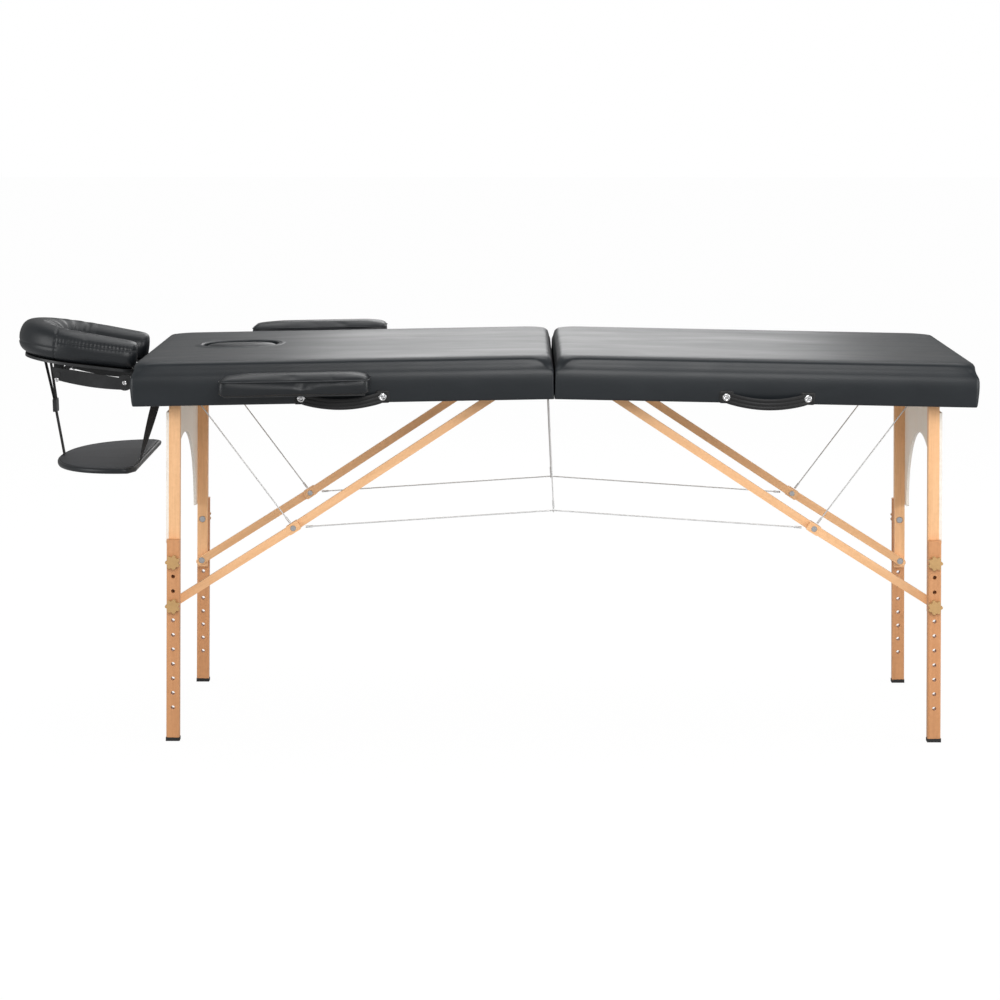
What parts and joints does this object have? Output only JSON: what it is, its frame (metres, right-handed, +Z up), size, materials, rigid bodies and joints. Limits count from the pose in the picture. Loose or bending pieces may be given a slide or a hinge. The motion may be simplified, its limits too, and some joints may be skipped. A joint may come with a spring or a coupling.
{
  "type": "portable massage table",
  "caption": "Folding wooden massage table with padded top, cable-braced folding legs, telescoping feet, armrests, tilting face cradle and hanging arm shelf.",
  "frame": {"origin": "on the floor, under the middle of the table's whole length and width", "axes": "+X from the face cradle towards the foot end, +Y away from the side with the carry handles, +Z up"},
  "size_m": [2.127, 0.899, 0.8957],
  "materials": {
    "black_vinyl_cushion": "smooth upholstery vinyl over foam",
    "wrapped_rail": "wooden rails wrapped in black vinyl",
    "deck_board": "thin plywood",
    "beech": "clear satin lacquer",
    "beech_extension": "clear satin lacquer, warmer wood",
    "plywood": "pale sanded plywood",
    "tan_knob": "matt tan plastic",
    "black_rubber": "matt",
    "bright_steel": "zinc plated",
    "dark_metal": "black paint",
    "black_plastic": "moulded, fine grain",
    "black_webbing": "woven webbing",
    "steel_cable": "stranded cable"
  },
  "bodies": {
    "head_panel": {"head_frame": "wrapped_rail", "head_deck": "deck_board", "head_cushion": "black_vinyl_cushion", "head_brackets": "bright_steel", "head_handle": "black_webbing", "head_hinge_leaves": "bright_steel", "cable_hangers": "steel_cable", "head_cables": "steel_cable"},
    "foot_panel": {"foot_frame": "wrapped_rail", "foot_deck": "deck_board", "foot_cushion": "black_vinyl_cushion", "foot_brackets": "bright_steel", "foot_handle": "black_webbing", "foot_hinge_leaves": "bright_steel", "foot_cables": "steel_cable"},
    "face_plug": {"face_plug": "black_vinyl_cushion"},
    "armrest_near": {"armrest_pad_near": "black_vinyl_cushion", "armrest_bracket_near": "black_plastic"},
    "armrest_far": {"armrest_pad_far": "black_vinyl_cushion", "armrest_bracket_far": "black_plastic"},
    "cradle_base": {"cradle_base": "dark_metal", "shelf_straps": "black_webbing", "strap_buckle": "black_plastic"},
    "cradle_arms": {"cradle_arms": "black_plastic"},
    "cradle_head": {"cradle_platform": "black_plastic", "cradle_pad": "black_vinyl_cushion"},
    "cradle_lever": {"cradle_lever": "dark_metal"},
    "arm_shelf": {"arm_shelf": "black_vinyl_cushion"},
    "head_leg_frame": {"head_upper_legs": "beech", "head_apron": "plywood", "head_leg_bolts": "bright_steel"},
    "head_lower_struts": {"head_lower_struts": "beech", "head_knee_heads": "bright_steel"},
    "head_upper_struts": {"head_upper_struts": "beech", "head_knee_nuts": "bright_steel"},
    "lower_leg_head_near": {"lower_leg_head_near": "beech_extension", "rubber_foot_head_near": "black_rubber"},
    "knob_head_near_upper": {"knob_head_near_upper": "tan_knob"},
    "knob_head_near_lower": {"knob_head_near_lower": "tan_knob"},
    "lower_leg_head_far": {"lower_leg_head_far": "beech_extension", "rubber_foot_head_far": "black_rubber"},
    "knob_head_far_upper": {"knob_head_far_upper": "tan_knob"},
    "knob_head_far_lower": {"knob_head_far_lower": "tan_knob"},
    "foot_leg_frame": {"foot_upper_legs": "beech", "foot_apron": "plywood", "foot_leg_bolts": "bright_steel"},
    "foot_lower_struts": {"foot_lower_struts": "beech", "foot_knee_heads": "bright_steel"},
    "foot_upper_struts": {"foot_upper_struts": "beech", "foot_knee_nuts": "bright_steel"},
    "lower_leg_foot_near": {"lower_leg_foot_near": "beech_extension", "rubber_foot_foot_near": "black_rubber"},
    "knob_foot_near_upper": {"knob_foot_near_upper": "tan_knob"},
    "knob_foot_near_lower": {"knob_foot_near_lower": "tan_knob"},
    "lower_leg_foot_far": {"lower_leg_foot_far": "beech_extension", "rubber_foot_foot_far": "black_rubber"},
    "knob_foot_far_upper": {"knob_foot_far_upper": "tan_knob"},
    "knob_foot_far_lower": {"knob_foot_far_lower": "tan_knob"}
  },
  "joints": [
    {"name": "centre_fold", "type": "hinge", "parent": "head_panel", "child": "foot_panel", "pos_m": [0.14715, 0, 0.767], "axis": [0, 1, 0], "range_deg": [0, 90], "deforming": ["foot_cables", "head_cables", "cable_hangers"]},
    {"name": "head_leg_fold", "type": "hinge", "parent": "head_panel", "child": "head_leg_frame", "pos_m": [-0.68115, 0, 0.7746], "axis": [0, -1, 0], "range_deg": [0, 92.2], "deforming": ["head_cables"]},
    {"name": "head_lower_strut_turn", "type": "hinge", "parent": "head_leg_frame", "child": "head_lower_struts", "pos_m": [-0.69017, 0, 0.30484], "axis": [0, -1, 0], "range_deg": [0, 54.64]},
    {"name": "head_upper_strut_turn", "type": "hinge", "parent": "head_panel", "child": "head_upper_struts", "pos_m": [0.05471, 0, 0.78873], "axis": [0, -1, 0], "range_deg": [-34.57, 0]},
    {"name": "leg_slide_head_near", "type": "slide", "parent": "head_leg_frame", "child": "lower_leg_head_near", "axis": [0.0192, 0, 0.9998], "range_m": [0, 0.1962]},
    {"name": "knob_head_near_upper_turn", "type": "hinge", "parent": "head_leg_frame", "child": "knob_head_near_upper", "pos_m": [-0.68829, -0.3222, 0.40293], "axis": [0, -1, 0], "continuous": true},
    {"name": "knob_head_near_lower_turn", "type": "hinge", "parent": "head_leg_frame", "child": "knob_head_near_lower", "pos_m": [-0.69017, -0.3222, 0.30484], "axis": [0, -1, 0], "continuous": true},
    {"name": "leg_slide_head_far", "type": "slide", "parent": "head_leg_frame", "child": "lower_leg_head_far", "axis": [0.0192, 0, 0.9998], "range_m": [0, 0.1962]},
    {"name": "knob_head_far_upper_turn", "type": "hinge", "parent": "head_leg_frame", "child": "knob_head_far_upper", "pos_m": [-0.68829, 0.3222, 0.40293], "axis": [0, 1, 0], "continuous": true},
    {"name": "knob_head_far_lower_turn", "type": "hinge", "parent": "head_leg_frame", "child": "knob_head_far_lower", "pos_m": [-0.69017, 0.3222, 0.30484], "axis": [0, 1, 0], "continuous": true},
    {"name": "foot_leg_fold", "type": "hinge", "parent": "foot_panel", "child": "foot_leg_frame", "pos_m": [0.97545, 0, 0.7746], "axis": [0, 1, 0], "range_deg": [0, 92.2], "deforming": ["foot_cables"]},
    {"name": "foot_lower_strut_turn", "type": "hinge", "parent": "foot_leg_frame", "child": "foot_lower_struts", "pos_m": [0.98447, 0, 0.30484], "axis": [0, 1, 0], "range_deg": [0, 54.64]},
    {"name": "foot_upper_strut_turn", "type": "hinge", "parent": "foot_panel", "child": "foot_upper_struts", "pos_m": [0.23958, 0, 0.78873], "axis": [0, 1, 0], "range_deg": [-34.57, 0]},
    {"name": "leg_slide_foot_near", "type": "slide", "parent": "foot_leg_frame", "child": "lower_leg_foot_near", "axis": [-0.0192, 0, 0.9998], "range_m": [0, 0.1962]},
    {"name": "knob_foot_near_upper_turn", "type": "hinge", "parent": "foot_leg_frame", "child": "knob_foot_near_upper", "pos_m": [0.98258, -0.3222, 0.40293], "axis": [0, -1, 0], "continuous": true},
    {"name": "knob_foot_near_lower_turn", "type": "hinge", "parent": "foot_leg_frame", "child": "knob_foot_near_lower", "pos_m": [0.98447, -0.3222, 0.30484], "axis": [0, -1, 0], "continuous": true},
    {"name": "leg_slide_foot_far", "type": "slide", "parent": "foot_leg_frame", "child": "lower_leg_foot_far", "axis": [-0.0192, 0, 0.9998], "range_m": [0, 0.1962]},
    {"name": "knob_foot_far_upper_turn", "type": "hinge", "parent": "foot_leg_frame", "child": "knob_foot_far_upper", "pos_m": [0.98258, 0.3222, 0.40293], "axis": [0, 1, 0], "continuous": true},
    {"name": "knob_foot_far_lower_turn", "type": "hinge", "parent": "foot_leg_frame", "child": "knob_foot_far_lower", "pos_m": [0.98447, 0.3222, 0.30484], "axis": [0, 1, 0], "continuous": true},
    {"name": "plug_lift", "type": "slide", "parent": "head_panel", "child": "face_plug", "axis": [-0.0192, 0, 0.9998], "range_m": [0, 0.12]},
    {"name": "armrest_pull_near", "type": "slide", "parent": "head_panel", "child": "armrest_near", "axis": [0, -1, 0], "range_m": [0, 0.1]},
    {"name": "armrest_pull_far", "type": "slide", "parent": "head_panel", "child": "armrest_far", "axis": [0, 1, 0], "range_m": [0, 0.1]},
    {"name": "cradle_pull", "type": "slide", "parent": "head_panel", "child": "cradle_base", "axis": [-0.9998, 0, -0.0192], "range_m": [0, 0.1], "deforming": ["shelf_straps"]},
    {"name": "cradle_tilt", "type": "hinge", "parent": "cradle_base", "child": "cradle_arms", "pos_m": [-0.81321, 0, 0.77657], "axis": [0, -1, 0], "range_deg": [-5, 25], "deforming": ["shelf_straps"]},
    {"name": "platform_tilt", "type": "hinge", "parent": "cradle_arms", "child": "cradle_head", "pos_m": [-0.96361, 0, 0.79568], "axis": [0, -1, 0], "range_deg": [0, 25], "deforming": ["shelf_straps"]},
    {"name": "lever_swing", "type": "hinge", "parent": "cradle_base", "child": "cradle_lever", "pos_m": [-0.79041, -0.088, 0.787], "axis": [-0.0192, 0, 0.9998], "range_deg": [0, 90]},
    {"name": "shelf_lift", "type": "slide", "parent": "cradle_base", "child": "arm_shelf", "axis": [-0.0192, 0, 0.9998], "range_m": [0, 0.05], "deforming": ["shelf_straps"]}
  ],
  "couplings": [
    {"joint": "head_lower_strut_turn", "follows": "head_leg_fold", "ratio": 0.5925},
    {"joint": "head_upper_strut_turn", "follows": "head_leg_fold", "ratio": -0.37479},
    {"joint": "foot_lower_strut_turn", "follows": "foot_leg_fold", "ratio": 0.5925},
    {"joint": "foot_upper_strut_turn", "follows": "foot_leg_fold", "ratio": -0.37479}
  ]
}
